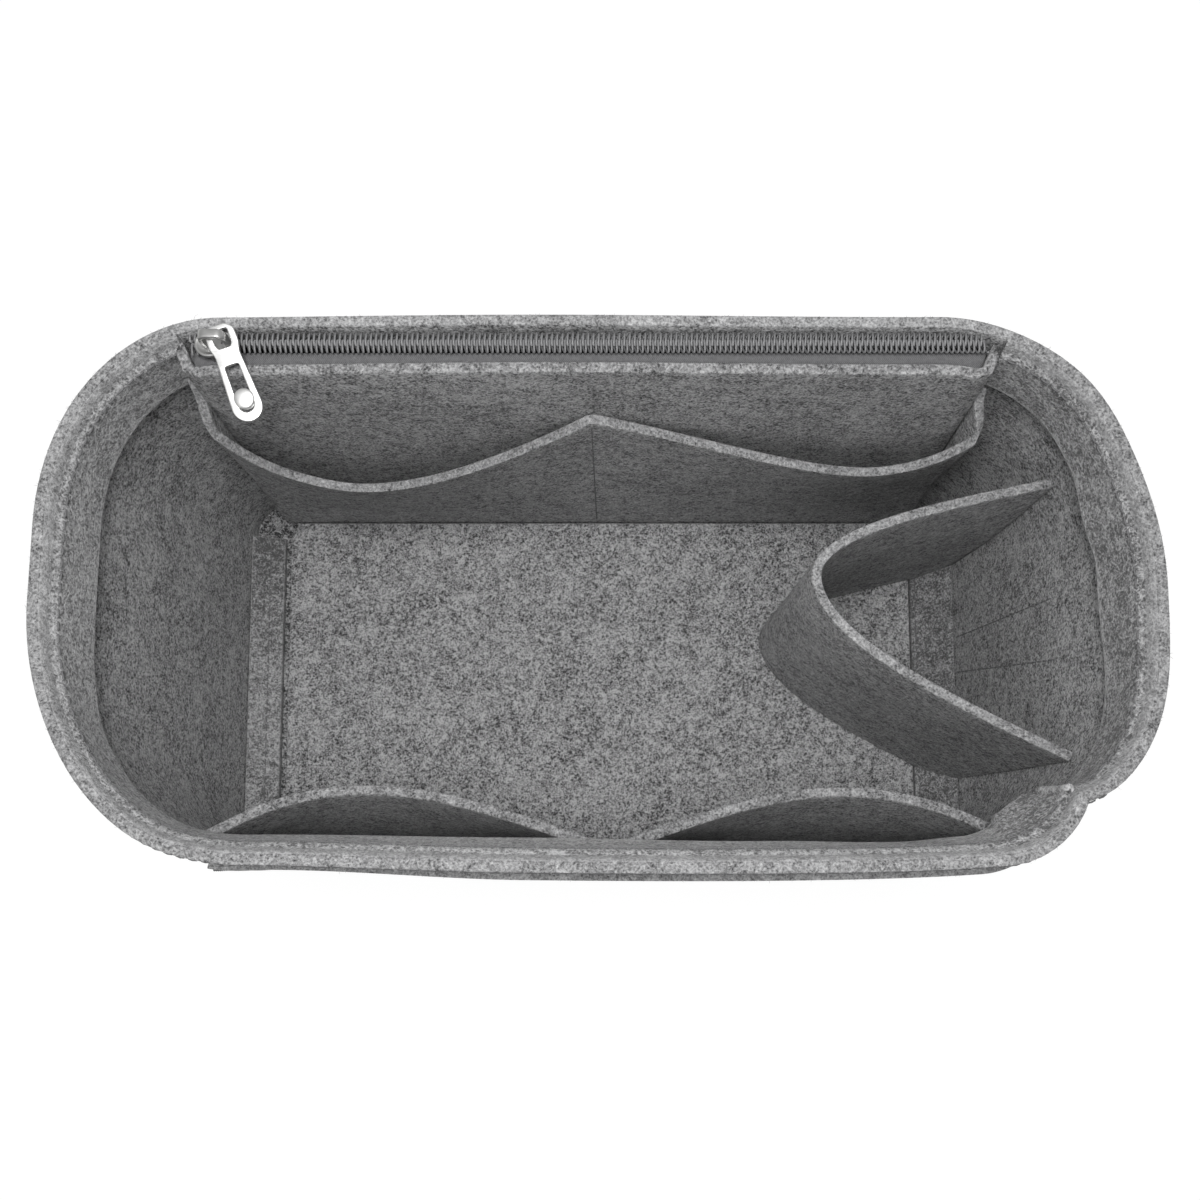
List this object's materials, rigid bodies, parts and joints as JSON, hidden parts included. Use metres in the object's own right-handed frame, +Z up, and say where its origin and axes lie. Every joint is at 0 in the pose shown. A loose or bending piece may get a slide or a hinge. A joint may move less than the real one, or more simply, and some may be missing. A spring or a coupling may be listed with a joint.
{
  "type": "purse organizer insert",
  "caption": "Felt tote insert: open tub with a zipped pocket along the back, slip pockets inside and out, and a looped bottle holder at one end.",
  "frame": {"origin": "middle of the bottom face", "axes": "+Z up from the resting face, +X along the length to the bottle holder's end, +Y to the zipped back wall"},
  "size_m": [0.3015, 0.1523, 0.1554],
  "materials": {
    "felt": "pressed felt, mid grey",
    "pad_felt": "pressed felt, lighter grey",
    "tape": "woven tape, dark grey",
    "coil": "moulded coil, dark grey",
    "nickel": "bright nickel"
  },
  "bodies": {
    "organizer": {"base_panel": "felt", "base_pad": "pad_felt", "back_wall": "felt", "front_wall": "felt", "left_end_wall": "felt", "right_end_wall": "felt", "rim_facing_left": "felt", "rim_facing_right": "felt", "zip_pocket_panel": "felt", "back_pocket_panel": "felt", "front_pocket_panel": "felt", "bottle_holder": "felt", "front_sleeve": "felt", "pen_sleeve": "felt", "zip_tape_front": "tape", "zip_tape_back": "tape", "zip_teeth_front": "coil", "zip_teeth_back": "coil"},
    "slider": {"slider_body": "nickel"},
    "pull": {"pull_tab": "nickel", "pull_bead": "nickel"}
  },
  "joints": [
    {"name": "zip_slide", "type": "slide", "parent": "organizer", "child": "slider", "axis": [1, 0, 0], "range_m": [0, 0.184], "deforming": ["zip_tape_front", "zip_tape_back", "zip_teeth_front", "zip_teeth_back"]},
    {"name": "pull_swivel", "type": "hinge", "parent": "slider", "child": "pull", "pos_m": [-0.0992, 0.0676, 0.1544], "axis": [0.0658, -0.2151, 0.9744], "range_deg": [-30, 50]}
  ]
}
